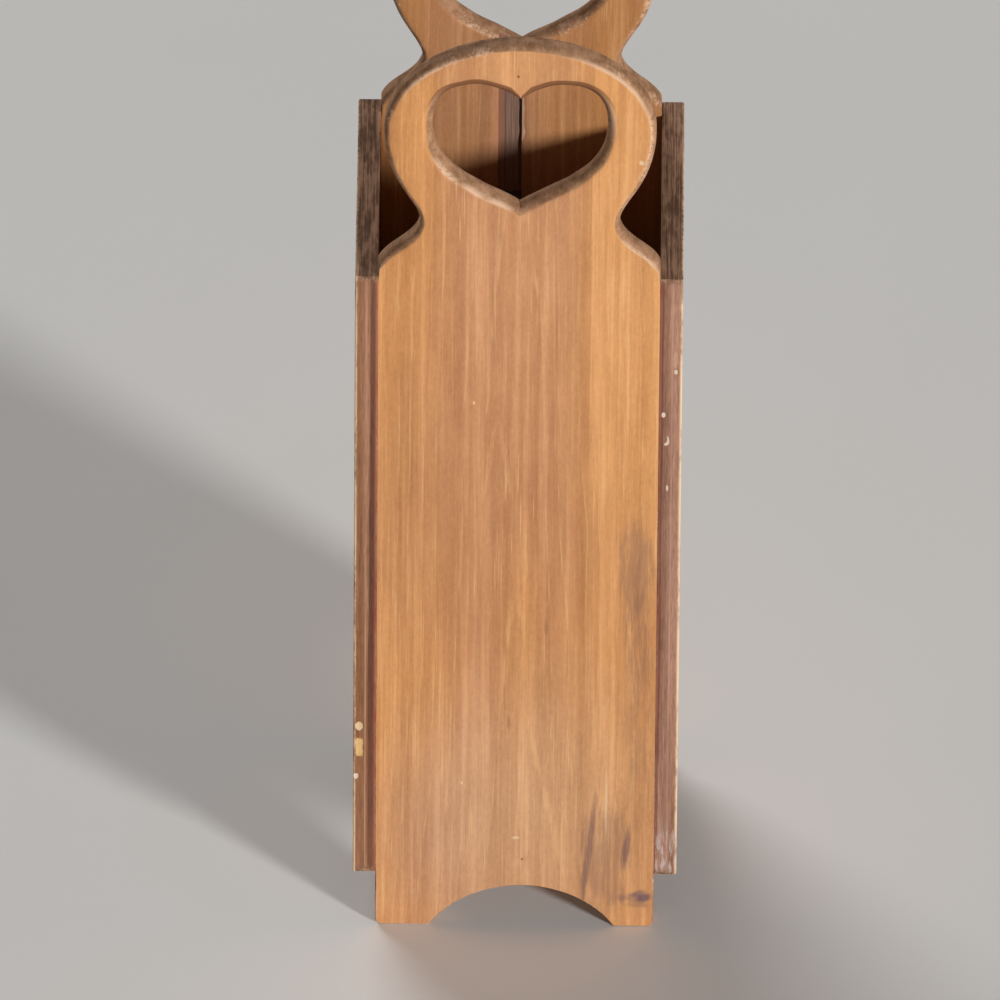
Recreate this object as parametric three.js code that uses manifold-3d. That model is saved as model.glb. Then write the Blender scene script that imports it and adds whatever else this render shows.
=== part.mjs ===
// Wooden umbrella holder. Two end panels, each with a heart-shaped hand hole in a rounded head and an
// arch between its feet, stand between two side boards. A floor board and a divider make two
// compartments. The divider is set in grooves in the panels, which run on above it and out into the hearts.
// The boards are held by finishing nails, set just below the wood.
// Millimetres, +Z up. The origin is on the ground under the middle of the box. The front faces -Y.
import * as THREE from 'three';
import { mergeVertices } from 'three/addons/utils/BufferGeometryUtils.js';
import Module from 'manifold-3d';

// Overall sizes and boards
const PANEL_W = 198; // width of an end panel, between the side boards
const PANEL_T = 16;
const DEPTH = 206; // front face to back face, and so the width of a side board
const SIDE_T = 16;
const SIDE_LENGTH = 532;
const SIDE_CLEAR = 48; // ground to the side boards' lower edge
const FLOOR_T = 16;
const FLOOR_RAISE = 23; // side boards' lower edge to the floor board's underside
const DIVIDER_T = 16;
const DIVIDER_DROP = 70; // side boards' top edge down to the divider's top edge
const GROOVE_DEPTH = 3; // housing for the divider in each panel's inside face
const GROOVE_CLEARANCE = 0.3;

// Outline of an end panel, each height measured from the point below it
const SHOULDER_RISE = 6; // side boards' top edge to the start of the shoulder curve
const NECK_RISE = 42; // shoulder to the narrowest part of the neck
const CHEEK_RISE = 79; // neck to the widest part of the head
const CROWN_RISE = 75; // widest part of the head to its top
const NECK_W = 140;
const HEAD_W = 190;
const SHOULDER_PULL = 15; // lengths of the curve handles, which are all upright here
const NECK_PULL_DOWN = 19;
const NECK_PULL_UP = 17;
const CHEEK_PULL = 47;
const ARCH_W = 131;
const ARCH_RISE = 36;
const ARCH_SHIFT = 5; // panels' middle to the arches' middle, towards +X
const FOOT_CORNER_R = 5;
const ROUNDOVER = 5; // arris radius round the head and the heart

// Heart-shaped hand hole
const HEART_W = 122;
const HEART_TIP_RISE = 13; // neck to the tip
const HEART_WIDE_RISE = 71; // tip to the widest part
const HEART_LOBE_RISE = 34.5; // widest part to the tops of the lobes
const HEART_LOBE_X = 30; // centre line to the top of a lobe
const HEART_NOTCH_X = 8; // half width of the straight sided notch
const HEART_NOTCH_RISE = 6.8; // top of the notch's sides to the tops of the lobes
const HEART_NOTCH_DROP = 10.1; // bottom of the notch to the tops of the lobes
const HEART_TIP_PULL = new THREE.Vector2(26, 18); // curve handles
const HEART_SIDE_PULL_DOWN = 44;
const HEART_SIDE_PULL_UP = 24;
const HEART_LOBE_PULL_OUT = 20;
const HEART_LOBE_PULL_IN = 9;
const HEART_NOTCH_PULL = new THREE.Vector2(6, 2.5); // along the notch's side
const GROOVE_RUNOUT = 14; // heart's tip up to the end of the groove's cut, which lies in the heart's opening

// Finishing nails
const NAIL_D = 2;
const NAIL_LENGTH = 45;
const NAIL_HEAD_D = 3.2;
const NAIL_HEAD_T = 1.2;
const NAIL_POINT = 3;
const NAIL_SET = 0.8; // head below the wood's surface
const NAIL_CLEARANCE = 0.3;
const NAILS_PER_CORNER = 4;
const NAIL_END_MARGIN = 40; // side board's end to the nearest nail of a corner
const FLOOR_NAIL_INSET = 49; // panel's outside face to the nail from a side into the floor board

// Smoothness of curves
const CURVE_SEGMENTS = 10;
const ROUNDOVER_SEGMENTS = 2;
const NAIL_SIDES = 8;
const MERGE_TOLERANCE = 1e-4;

// Places that follow from the sizes
const SIDE_BOTTOM_Z = SIDE_CLEAR;
const SIDE_TOP_Z = SIDE_BOTTOM_Z + SIDE_LENGTH;
const FLOOR_Z = SIDE_BOTTOM_Z + FLOOR_RAISE;
const FLOOR_TOP_Z = FLOOR_Z + FLOOR_T;
const DIVIDER_X = -DIVIDER_T / 2; // the divider's right face is on the centre line
const DIVIDER_TOP_Z = SIDE_TOP_Z - DIVIDER_DROP;
const SHOULDER_Z = SIDE_TOP_Z + SHOULDER_RISE;
const NECK_Z = SHOULDER_Z + NECK_RISE;
const CHEEK_Z = NECK_Z + CHEEK_RISE;
const CROWN_Z = CHEEK_Z + CROWN_RISE;
const HEART_TIP_Z = NECK_Z + HEART_TIP_RISE;
const GROOVE_TOP_Z = HEART_TIP_Z + GROOVE_RUNOUT;
const HEART_WIDE_Z = HEART_TIP_Z + HEART_WIDE_RISE;
const HEART_LOBE_Z = HEART_WIDE_Z + HEART_LOBE_RISE;
const INSIDE_DEPTH = DEPTH - 2 * PANEL_T;
const OUTSIDE_X = PANEL_W / 2 + SIDE_T;
const PAST_FACE = 1; // how far a cutter runs past the face that it opens

const FINISHES = {
  panel: { color: 0xcf9a66, roughness: 0.5 },
  side: { color: 0x7c5341, roughness: 0.5 },
  divider: { color: 0x5b443a, roughness: 0.6 },
  floor: { color: 0xb98a5e, roughness: 0.75 },
  nail: { color: 0x77736d, roughness: 0.45, metalness: 0.9 },
};

const wasm = await Module();
wasm.setup();

// A closed geometry as a solid that can be joined and cut
function solidFrom(geometry) {
  const bare = new THREE.BufferGeometry();
  bare.setAttribute('position', geometry.getAttribute('position'));
  bare.setIndex(geometry.index);
  const merged = mergeVertices(bare, MERGE_TOLERANCE);
  const corners = merged.index.array;
  const triangles = [];
  for (let i = 0; i < corners.length; i += 3) {
    const [a, b, c] = corners.slice(i, i + 3);
    if (a !== b && b !== c && c !== a) triangles.push(a, b, c);
  }
  return new wasm.Manifold(new wasm.Mesh({
    numProp: 3,
    vertProperties: Float32Array.from(merged.getAttribute('position').array),
    triVerts: Uint32Array.from(triangles),
  }));
}

function geometryFrom(solid) {
  const { vertProperties, triVerts } = solid.getMesh();
  const geometry = new THREE.BufferGeometry();
  geometry.setAttribute('position', new THREE.BufferAttribute(vertProperties, 3));
  geometry.setIndex(new THREE.BufferAttribute(triVerts, 1));
  geometry.computeVertexNormals();
  return geometry;
}

// Box between two corners. It grows from its low corner, so that a face set at zero is exactly there.
function boxGeometry(low, high) {
  const size = high.clone().sub(low);
  const box = new THREE.BoxGeometry(1, 1, 1).translate(0.5, 0.5, 0.5);
  return box.scale(size.x, size.y, size.z).translate(low.x, low.y, low.z);
}

const vector = (x, y, z) => new THREE.Vector3(x, y, z);

// A nail along Y, with the top of its head at the origin and its point below. Grown by the clearance
// and with its head run out past the wood's surface, the same profile cuts the nail's hole.
function nailGeometry(clearance, headRunout) {
  const shankR = NAIL_D / 2 + clearance;
  const headR = NAIL_HEAD_D / 2 + clearance;
  const pointY = -NAIL_LENGTH - clearance;
  const headY = -NAIL_HEAD_T - clearance;
  const profile = [
    new THREE.Vector2(0, pointY),
    new THREE.Vector2(shankR, pointY + NAIL_POINT),
    new THREE.Vector2(shankR, headY),
    new THREE.Vector2(headR, headY),
    new THREE.Vector2(headR, headRunout),
    new THREE.Vector2(0, headRunout),
  ];
  return new THREE.LatheGeometry(profile, NAIL_SIDES);
}

// Every nail: its name, the middle of its head and the way that its head faces
function nailPlaces() {
  const places = [];
  const cornerSpan = SIDE_LENGTH - 2 * NAIL_END_MARGIN;
  const cornerY = DEPTH / 2 - PANEL_T / 2;
  const floorY = DEPTH / 2 - FLOOR_NAIL_INSET;
  const floorZ = FLOOR_Z + FLOOR_T / 2;
  const sideHeadX = OUTSIDE_X - NAIL_SET;
  for (const [side, x] of [['left', -1], ['right', 1]]) {
    const faces = vector(x, 0, 0);
    for (const [end, y] of [['front', -1], ['back', 1]]) {
      for (let i = 0; i < NAILS_PER_CORNER; i++) {
        const z = SIDE_BOTTOM_Z + NAIL_END_MARGIN + (cornerSpan * i) / (NAILS_PER_CORNER - 1);
        const head = vector(x * sideHeadX, y * cornerY, z);
        places.push({ name: `${side}_${end}_nail_${i + 1}`, head, faces });
      }
      const floorHead = vector(x * sideHeadX, y * floorY, floorZ);
      places.push({ name: `${side}_floor_nail_${end}`, head: floorHead, faces });
    }
  }
  for (const [end, y] of [['front', -1], ['back', 1]]) {
    const head = vector(0, y * (DEPTH / 2 - NAIL_SET), floorZ);
    places.push({ name: `${end}_floor_nail`, head, faces: vector(0, y, 0) });
  }
  return places;
}

function nailMesh({ name, head, faces }) {
  const nail = new THREE.Mesh(nailGeometry(0, 0), new THREE.MeshStandardMaterial(FINISHES.nail));
  nail.name = name;
  nail.position.copy(head);
  nail.quaternion.setFromUnitVectors(vector(0, 1, 0), faces);
  nail.updateMatrix();
  return nail;
}

const nails = nailPlaces().map(nailMesh);

// A board's mesh, with a hole for each nail that passes through it
function boardMesh(name, solid, place, finish) {
  const board = new THREE.Mesh(undefined, new THREE.MeshStandardMaterial(finish));
  board.name = name;
  board.position.copy(place.position);
  board.rotation.z = place.turn ?? 0;
  board.updateMatrix();
  const intoBoard = board.matrix.clone().invert();
  let drilled = solid;
  for (const nail of nails) {
    const hole = nailGeometry(NAIL_CLEARANCE, NAIL_SET + PAST_FACE);
    hole.applyMatrix4(intoBoard.clone().multiply(nail.matrix));
    drilled = drilled.subtract(solidFrom(hole));
  }
  board.geometry = geometryFrom(drilled);
  return board;
}

// Lower part of an end panel, from the feet to the shoulders, drawn with the ground at y = 0 and the
// arch's middle at archX
function panelBodyShape(archX) {
  const half = PANEL_W / 2;
  const archHalf = ARCH_W / 2;
  const archR = (archHalf ** 2 + ARCH_RISE ** 2) / (2 * ARCH_RISE);
  const archCentre = ARCH_RISE - archR;
  const shape = new THREE.Shape();
  shape.moveTo(archX + archHalf, 0);
  shape.lineTo(half - FOOT_CORNER_R, 0);
  shape.absarc(half - FOOT_CORNER_R, FOOT_CORNER_R, FOOT_CORNER_R, -Math.PI / 2, 0, false);
  shape.lineTo(half, SHOULDER_Z);
  shape.lineTo(-half, SHOULDER_Z);
  shape.absarc(-half + FOOT_CORNER_R, FOOT_CORNER_R, FOOT_CORNER_R, Math.PI, 1.5 * Math.PI, false);
  shape.lineTo(archX - archHalf, 0);
  const leftEnd = Math.atan2(-archCentre, -archHalf);
  const rightEnd = Math.atan2(-archCentre, archHalf);
  shape.absarc(archX, archCentre, archR, leftEnd, rightEnd, true);
  return shape;
}

// Heart-shaped hole, from its tip up the right side to the notch and down the left side
function heartPath() {
  const wide = HEART_W / 2;
  const notchZ = HEART_LOBE_Z - HEART_NOTCH_DROP;
  const notchTopZ = HEART_LOBE_Z - HEART_NOTCH_RISE;
  const heart = new THREE.Path();
  heart.moveTo(0, HEART_TIP_Z);
  heart.bezierCurveTo(HEART_TIP_PULL.x, HEART_TIP_Z + HEART_TIP_PULL.y,
    wide, HEART_WIDE_Z - HEART_SIDE_PULL_DOWN, wide, HEART_WIDE_Z);
  heart.bezierCurveTo(wide, HEART_WIDE_Z + HEART_SIDE_PULL_UP,
    HEART_LOBE_X + HEART_LOBE_PULL_OUT, HEART_LOBE_Z, HEART_LOBE_X, HEART_LOBE_Z);
  heart.bezierCurveTo(HEART_LOBE_X - HEART_LOBE_PULL_IN, HEART_LOBE_Z,
    HEART_NOTCH_X + HEART_NOTCH_PULL.x, notchTopZ + HEART_NOTCH_PULL.y, HEART_NOTCH_X, notchTopZ);
  heart.lineTo(0, notchZ);
  heart.lineTo(-HEART_NOTCH_X, notchTopZ);
  heart.bezierCurveTo(-HEART_NOTCH_X - HEART_NOTCH_PULL.x, notchTopZ + HEART_NOTCH_PULL.y,
    -HEART_LOBE_X + HEART_LOBE_PULL_IN, HEART_LOBE_Z, -HEART_LOBE_X, HEART_LOBE_Z);
  heart.bezierCurveTo(-HEART_LOBE_X - HEART_LOBE_PULL_OUT, HEART_LOBE_Z,
    -wide, HEART_WIDE_Z + HEART_SIDE_PULL_UP, -wide, HEART_WIDE_Z);
  heart.bezierCurveTo(-wide, HEART_WIDE_Z - HEART_SIDE_PULL_DOWN,
    -HEART_TIP_PULL.x, HEART_TIP_Z + HEART_TIP_PULL.y, 0, HEART_TIP_Z);
  return heart;
}

// Head of an end panel above the shoulders, with a skirt below them that is cut off after rounding over
function panelHeadShape() {
  const half = PANEL_W / 2;
  const neck = NECK_W / 2;
  const cheek = HEAD_W / 2;
  const skirtZ = SHOULDER_Z - 2 * ROUNDOVER;
  const shape = new THREE.Shape();
  shape.moveTo(-half, skirtZ);
  shape.lineTo(half, skirtZ);
  shape.lineTo(half, SHOULDER_Z);
  shape.bezierCurveTo(half, SHOULDER_Z + SHOULDER_PULL, neck, NECK_Z - NECK_PULL_DOWN, neck, NECK_Z);
  shape.bezierCurveTo(neck, NECK_Z + NECK_PULL_UP, cheek, CHEEK_Z - CHEEK_PULL, cheek, CHEEK_Z);
  shape.absellipse(0, CHEEK_Z, cheek, CROWN_RISE, 0, Math.PI, false, 0);
  shape.bezierCurveTo(-cheek, CHEEK_Z - CHEEK_PULL, -neck, NECK_Z + NECK_PULL_UP, -neck, NECK_Z);
  shape.bezierCurveTo(-neck, NECK_Z - NECK_PULL_DOWN, -half, SHOULDER_Z + SHOULDER_PULL, -half, SHOULDER_Z);
  shape.holes.push(heartPath());
  return shape;
}

// End panel with its outside face at y = 0 and its inside face at y = PANEL_T, the arch round x = archX and
// the groove round x = grooveX
function panelSolid(archX, grooveX) {
  const upright = new THREE.Matrix4().makeRotationX(Math.PI / 2).setPosition(0, PANEL_T, 0);
  const body = new THREE.ExtrudeGeometry(panelBodyShape(archX), {
    depth: PANEL_T, bevelEnabled: false, curveSegments: CURVE_SEGMENTS,
  });
  const head = new THREE.ExtrudeGeometry(panelHeadShape(), {
    depth: PANEL_T - 2 * ROUNDOVER,
    bevelThickness: ROUNDOVER,
    bevelSize: ROUNDOVER,
    bevelOffset: -ROUNDOVER,
    bevelSegments: ROUNDOVER_SEGMENTS,
    curveSegments: CURVE_SEGMENTS,
  }).translate(0, 0, ROUNDOVER);
  const reach = Math.max(PANEL_W, HEAD_W);
  const aboveShoulders = boxGeometry(
    vector(-reach, -PAST_FACE, SHOULDER_Z), vector(reach, PANEL_T + PAST_FACE, CROWN_Z + PAST_FACE));
  const grooveHalf = DIVIDER_T / 2 + GROOVE_CLEARANCE;
  const groove = boxGeometry(
    vector(grooveX - grooveHalf, PANEL_T - GROOVE_DEPTH, FLOOR_TOP_Z),
    vector(grooveX + grooveHalf, PANEL_T + PAST_FACE, GROOVE_TOP_Z));
  return solidFrom(body.applyMatrix4(upright))
    .add(solidFrom(head.applyMatrix4(upright)).intersect(solidFrom(aboveShoulders)))
    .subtract(solidFrom(groove));
}

// Plain rectangular boards, each with the middle of its underside at its own origin
function plankSolid(x, y, z) {
  return solidFrom(boxGeometry(vector(-x / 2, -y / 2, 0), vector(x / 2, y / 2, z)));
}

const holder = new THREE.Group();
const frontPlace = { position: vector(0, -DEPTH / 2, 0) };
const backPlace = { position: vector(0, DEPTH / 2, 0), turn: Math.PI };
holder.add(boardMesh('front_panel', panelSolid(ARCH_SHIFT, DIVIDER_X), frontPlace, FINISHES.panel));
holder.add(boardMesh('back_panel', panelSolid(-ARCH_SHIFT, -DIVIDER_X), backPlace, FINISHES.panel));

const side = plankSolid(SIDE_T, DEPTH, SIDE_LENGTH);
for (const [name, x] of [['left_side', -1], ['right_side', 1]]) {
  const position = vector(x * (PANEL_W + SIDE_T) / 2, 0, SIDE_BOTTOM_Z);
  holder.add(boardMesh(name, side, { position }, FINISHES.side));
}

const floor = plankSolid(PANEL_W, INSIDE_DEPTH, FLOOR_T);
holder.add(boardMesh('floor_board', floor, { position: vector(0, 0, FLOOR_Z) }, FINISHES.floor));

const dividerDepth = INSIDE_DEPTH + 2 * (GROOVE_DEPTH - GROOVE_CLEARANCE);
const divider = plankSolid(DIVIDER_T, dividerDepth, DIVIDER_TOP_Z - FLOOR_TOP_Z);
const dividerPlace = { position: vector(DIVIDER_X, 0, FLOOR_TOP_Z) };
holder.add(boardMesh('divider', divider, dividerPlace, FINISHES.divider));

holder.add(...nails);

export default holder;
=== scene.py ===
"""Looks of the wooden umbrella holder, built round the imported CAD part.

Each board is rebuilt as a fine mesh with softened arrises, wear, dings and nail holes, and gets a
procedural wood. The frame's axes hold throughout: X to the right, the front faces -Y, Z up, metres.
Board shapes are drawn in millimetres and scaled once, where their points enter the frame.
"""
import math
from collections import namedtuple

import bmesh
import bpy
import numpy as np
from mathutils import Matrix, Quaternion, Vector, noise
from mathutils.geometry import delaunay_2d_cdt


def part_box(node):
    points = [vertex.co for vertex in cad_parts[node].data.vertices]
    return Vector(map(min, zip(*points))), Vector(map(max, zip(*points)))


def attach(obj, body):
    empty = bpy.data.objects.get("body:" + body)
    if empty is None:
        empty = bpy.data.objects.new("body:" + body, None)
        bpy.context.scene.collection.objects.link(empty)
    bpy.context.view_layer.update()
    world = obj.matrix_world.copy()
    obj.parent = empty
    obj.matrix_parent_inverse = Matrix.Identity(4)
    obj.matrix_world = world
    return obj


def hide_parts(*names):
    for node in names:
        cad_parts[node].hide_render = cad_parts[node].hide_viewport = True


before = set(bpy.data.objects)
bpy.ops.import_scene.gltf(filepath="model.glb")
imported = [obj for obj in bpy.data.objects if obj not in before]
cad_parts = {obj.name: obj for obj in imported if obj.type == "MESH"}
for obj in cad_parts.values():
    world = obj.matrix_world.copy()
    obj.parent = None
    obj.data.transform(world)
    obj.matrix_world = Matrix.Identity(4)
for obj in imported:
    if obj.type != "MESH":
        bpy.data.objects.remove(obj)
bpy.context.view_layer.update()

MM = 0.001
X_AXIS = 0
Z_AXIS = 2

# Camera of the photograph: almost square on to the front, well above it, through a long lens
CAMERA_DISTANCE = 22.0
CAMERA_AZIMUTH = math.radians(0.23)
CAMERA_ELEVATION = math.radians(37.82)
CAMERA_ROLL = math.radians(0.44)
CAMERA_TARGET = Vector((-12.7, 0, 303.1)) * MM
CAMERA_FIELD = 0.7083  # width of what the frame shows at the target, in metres
SENSOR_WIDTH = 36

# Studio
STUDIO_FLOOR_HALF = 40
HORIZON_LIGHT = 0.5
ZENITH_LIGHT = 0.06
ZENITH_START = 0.55  # how far up the sky the glow has faded, as a share of straight up
LIGHT_DISTANCE = 3
SUNS = [
    {"name": "key_light", "way": (1, -0.95, 0.28), "power": 3.1, "spread": 8},
    {"name": "back_light", "way": (-0.8, 1.6, 1.1), "power": 1.6, "spread": 34},
]


def in_mm(node):
    """Lowest and highest corner of a CAD node, in millimetres."""
    low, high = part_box(node)
    return low / MM, high / MM


# Outline of an end panel, in millimetres
SHOULDER_RISE = 6  # side boards' top edge to the start of the shoulder curve
NECK_RISE = 42  # shoulder to the narrowest part of the neck
CHEEK_RISE = 79  # neck to the widest part of the head
NECK_HALF = 70
HEAD_HALF = 95
SHOULDER_PULL = 15  # lengths of the curve handles, which are all upright here
NECK_PULL_DOWN = 19
NECK_PULL_UP = 17
CHEEK_PULL = 47
ARCH_HALF = 65.5
ARCH_RISE = 36
ARCH_SHIFT = 5  # panels' middle to the arches' middle, towards +X
FOOT_CORNER_R = 5

# Hand hole
HEART_HALF = 61
HEART_TIP_RISE = 13  # neck to the tip
HEART_WIDE_RISE = 71  # tip to the widest part
HEART_LOBE_RISE = 34.5  # widest part to the tops of the lobes
HEART_LOBE_X = 30  # centre line to the top of a lobe
HEART_NOTCH_X = 8  # half width of the straight sided notch
HEART_NOTCH_RISE = 6.8  # top of the notch's sides to the tops of the lobes
HEART_NOTCH_DROP = 10.1  # bottom of the notch to the tops of the lobes
HEART_TIP_PULL = Vector((26, 18))  # curve handles
HEART_SIDE_PULL_DOWN = Vector((0, -44))
HEART_SIDE_PULL_UP = Vector((0, 24))
HEART_LOBE_PULL_OUT = Vector((20, 0))
HEART_LOBE_PULL_IN = Vector((-9, 0))
HEART_NOTCH_PULL = Vector((6, 2.5))  # along the notch's side

# Groove for the divider, and the wood torn out along one of its arrises
GROOVE_DEPTH = 3
GROOVE_CLEARANCE = 0.3
GROOVE_RUNOUT = 14  # heart's tip up to the end of the groove's cut
GROOVE_CHAMFER = 0.5
CHAMFER_DEPTH = 0.15
CUTTER_PAST = 0.4  # how far the cutter stands out of the face
TEAR_RISE = 30  # divider's top edge to the start of the tear
TEAR_FADE = 25  # length over which the tear grows
TEAR_WIDTH = 2.7
TEAR_SLOPE = 0.35
TEAR_STEP = 2.5

# Places that follow from these and from the frame
PANEL_FRONT_Y = in_mm("front_panel")[0].y
PANEL_BACK_Y = in_mm("back_panel")[1].y
DIVIDER_X = sum(corner.x for corner in in_mm("divider")) / 2
SHOULDER_Z = in_mm("left_side")[1].z + SHOULDER_RISE
NECK_Z = SHOULDER_Z + NECK_RISE
CHEEK_Z = NECK_Z + CHEEK_RISE
CROWN_Z = in_mm("front_panel")[1].z
HEART_TIP_Z = NECK_Z + HEART_TIP_RISE
HEART_WIDE_Z = HEART_TIP_Z + HEART_WIDE_RISE
HEART_LOBE_Z = HEART_WIDE_Z + HEART_LOBE_RISE
HEART_NOTCH_TOP_Z = HEART_LOBE_Z - HEART_NOTCH_RISE
HEART_NOTCH_Z = HEART_LOBE_Z - HEART_NOTCH_DROP
TEAR_LOW_Z = in_mm("divider")[1].z + TEAR_RISE

# Arrises
HEAD_ROUND = 5
HEART_ROUND_LOW = 7.6
HEART_ROUND_HIGH = 6.6
NOTCH_ROUND = 1.5
NOTCH_ROUND_GROWTH = 0.5  # how much wider the rounding gets with each millimetre from the notch
BOARD_ROUND = 1.1
JOINT_ROUND = 0.45
DIVIDER_ROUND = 1.8
ROUND_STEPS = 6
CUT_FULL = 0.36  # share of a rounding from which on it looks fully cut
WEAR_SHARE = 0.16  # how much an arris radius varies along its length
WEAR_LENGTH = 14
SHARP_ANGLE = math.radians(50)
MITRE_LIMIT = 0.5
FACE_MARGIN = 1.4  # plain rim between an arris and the filled face

# Spacing of mesh points
CURVE_STEP = 2.4
LINE_STEP = 6
CORNER_STEP = 1
FACE_STEP = 9
FACE_ROOM = 0.45 * FACE_STEP  # least distance of a face's own points from its rim
DING_ROOM = 0.8
FINE_PARTS = 5  # into how many parts a line is divided near a chip
FINE_REACH = 9
PANEL_WALL_STEPS = 4
PLANK_WALL_STEPS = 8
INSIDE_WITH_HOLES = 2  # the kind of filling asked of the triangulation
MERGE_DISTANCE = 1e-7

# How far the faces are sunk and how uneven they are
PANEL_SINK = 0.12
PANEL_INSIDE_SINK = 0.04
PLANK_SINK = 0.1
SINK_SHARE = 0.8
SINK_LENGTH = 60
DING_SPREAD = 1.6
DING_POINTS = 8

NAIL_HOLE_R = 1.9
NAIL_HOLE_DEPTH = 2.2
NAIL_HOLE_LIP = 0.5
NAIL_HOLE_POINTS = 16
NAILS_PER_CORNER = 4


def lerp(a, b, t):
    return a + (b - a) * t


def smooth(low, high, value):
    t = min(1.0, max(0.0, (value - low) / (high - low)))
    return t * t * (3 - 2 * t)


def add_object(name, data):
    made = bpy.data.objects.new(name, data)
    bpy.context.scene.collection.objects.link(made)
    return made


def make_camera():
    data = bpy.data.cameras.new("photo_camera")
    data.sensor_width = SENSOR_WIDTH
    data.lens = SENSOR_WIDTH * CAMERA_DISTANCE / CAMERA_FIELD
    camera = add_object("photo_camera", data)
    level = math.cos(CAMERA_ELEVATION)
    back = Vector((
        math.sin(CAMERA_AZIMUTH) * level,
        -math.cos(CAMERA_AZIMUTH) * level,
        math.sin(CAMERA_ELEVATION),
    ))
    camera.location = CAMERA_TARGET + back * CAMERA_DISTANCE
    camera.rotation_mode = "QUATERNION"
    aim = (-back).to_track_quat("-Z", "Y")
    camera.rotation_quaternion = aim @ Quaternion((0, 0, 1), CAMERA_ROLL)
    data.clip_end = CAMERA_DISTANCE + 2 * STUDIO_FLOOR_HALF
    bpy.context.scene.camera = camera


make_camera()
bpy.context.scene.view_settings.view_transform = "Standard"


# Curves of the outlines, as lists of (u, v) points that leave out their last point

def line(start, end, step=LINE_STEP):
    start, end = Vector(start), Vector(end)
    count = max(1, round((end - start).length / step))
    return [start.lerp(end, i / count) for i in range(count)]


def bezier(start, start_pull, end_pull, end):
    start, a, b, end = Vector(start), Vector(start_pull), Vector(end_pull), Vector(end)
    length = (a - start).length + (b - a).length + (end - b).length
    count = max(4, round(length / CURVE_STEP))
    points = []
    for i in range(count):
        t = i / count
        s = 1 - t
        points.append(start * s**3 + a * (3 * s * s * t) + b * (3 * s * t * t) + end * t**3)
    return points


def arc(centre, radius_u, radius_v, first, last, step=CURVE_STEP):
    count = max(3, round(abs(last - first) * max(radius_u, radius_v) / step))
    points = []
    for i in range(count):
        a = lerp(first, last, i / count)
        points.append(Vector((centre[0] + radius_u * math.cos(a), centre[1] + radius_v * math.sin(a))))
    return points


def mirrored(points, last):
    """The same curve on the left, run the other way. The first point becomes the last, which is left out."""
    whole = points + [Vector(last)]
    return [Vector((-p.x, p.y)) for p in reversed(whole[1:])]


def panel_outline(half, arch_u):
    """Outer edge of an end panel, counter-clockwise from the right end of the arch.

    half is half the panel's width, and arch_u is where the middle of the arch lies.
    """
    arch_r = (ARCH_HALF**2 + ARCH_RISE**2) / (2 * ARCH_RISE)
    arch_centre = (arch_u, ARCH_RISE - arch_r)
    arch_right = math.atan2(-arch_centre[1], ARCH_HALF)
    foot = (half - FOOT_CORNER_R, FOOT_CORNER_R)
    low_right = arc(foot, FOOT_CORNER_R, FOOT_CORNER_R, -math.pi / 2, 0, CORNER_STEP)
    low_right += line((half, FOOT_CORNER_R), (half, SHOULDER_Z))
    shoulder = bezier((half, SHOULDER_Z), (half, SHOULDER_Z + SHOULDER_PULL),
                      (NECK_HALF, NECK_Z - NECK_PULL_DOWN), (NECK_HALF, NECK_Z))
    cheek = bezier((NECK_HALF, NECK_Z), (NECK_HALF, NECK_Z + NECK_PULL_UP),
                   (HEAD_HALF, CHEEK_Z - CHEEK_PULL), (HEAD_HALF, CHEEK_Z))
    right = low_right + shoulder + cheek
    crown = arc((0, CHEEK_Z), HEAD_HALF, CROWN_Z - CHEEK_Z, 0, math.pi)
    left = mirrored(right, (HEAD_HALF, CHEEK_Z))
    arch = arc(arch_centre, arch_r, arch_r, math.pi - arch_right, arch_right)
    right_foot = line((arch_u + ARCH_HALF, 0), (foot[0], 0))
    left_foot = line((-foot[0], 0), (arch_u - ARCH_HALF, 0))
    return right_foot + right + crown + left + left_foot + arch


def heart_outline():
    """The hand hole, clockwise from its tip up the left side, so that the wood is on the left of the way."""
    tip = Vector((0, HEART_TIP_Z))
    side = Vector((HEART_HALF, HEART_WIDE_Z))
    lobe = Vector((HEART_LOBE_X, HEART_LOBE_Z))
    notch_top = Vector((HEART_NOTCH_X, HEART_NOTCH_TOP_Z))
    notch = Vector((0, HEART_NOTCH_Z))
    right = bezier(tip, tip + HEART_TIP_PULL, side + HEART_SIDE_PULL_DOWN, side)
    right += bezier(side, side + HEART_SIDE_PULL_UP, lobe + HEART_LOBE_PULL_OUT, lobe)
    right += bezier(lobe, lobe + HEART_LOBE_PULL_IN, notch_top + HEART_NOTCH_PULL, notch_top)
    right += line(notch_top, notch, CURVE_STEP)
    left = [Vector((-p.x, p.y)) for p in right]
    return left + [notch] + list(reversed(right[1:]))


def rectangle(low, high, extra):
    """Rectangle, counter-clockwise, with more points near the heights in extra."""
    corners = [(low[0], low[1]), (high[0], low[1]), (high[0], high[1]), (low[0], high[1])]
    points = []
    for start, end in zip(corners, corners[1:] + corners[:1]):
        side = line(start, end)
        for a, b in zip(side, side[1:] + [Vector(end)]):
            near = min((abs((a.y + b.y) / 2 - v) for v in extra), default=math.inf)
            parts = FINE_PARTS if near < FINE_REACH and a.x == b.x else 1
            points += [a.lerp(b, i / parts) for i in range(parts)]
    return points


def circle(centre, radius, count=NAIL_HOLE_POINTS):
    """Clockwise, so that the wood is on the left of the way."""
    turns = [-2 * math.pi * i / count for i in range(count)]
    return [Vector((centre[0] + radius * math.cos(a), centre[1] + radius * math.sin(a))) for a in turns]


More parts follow.
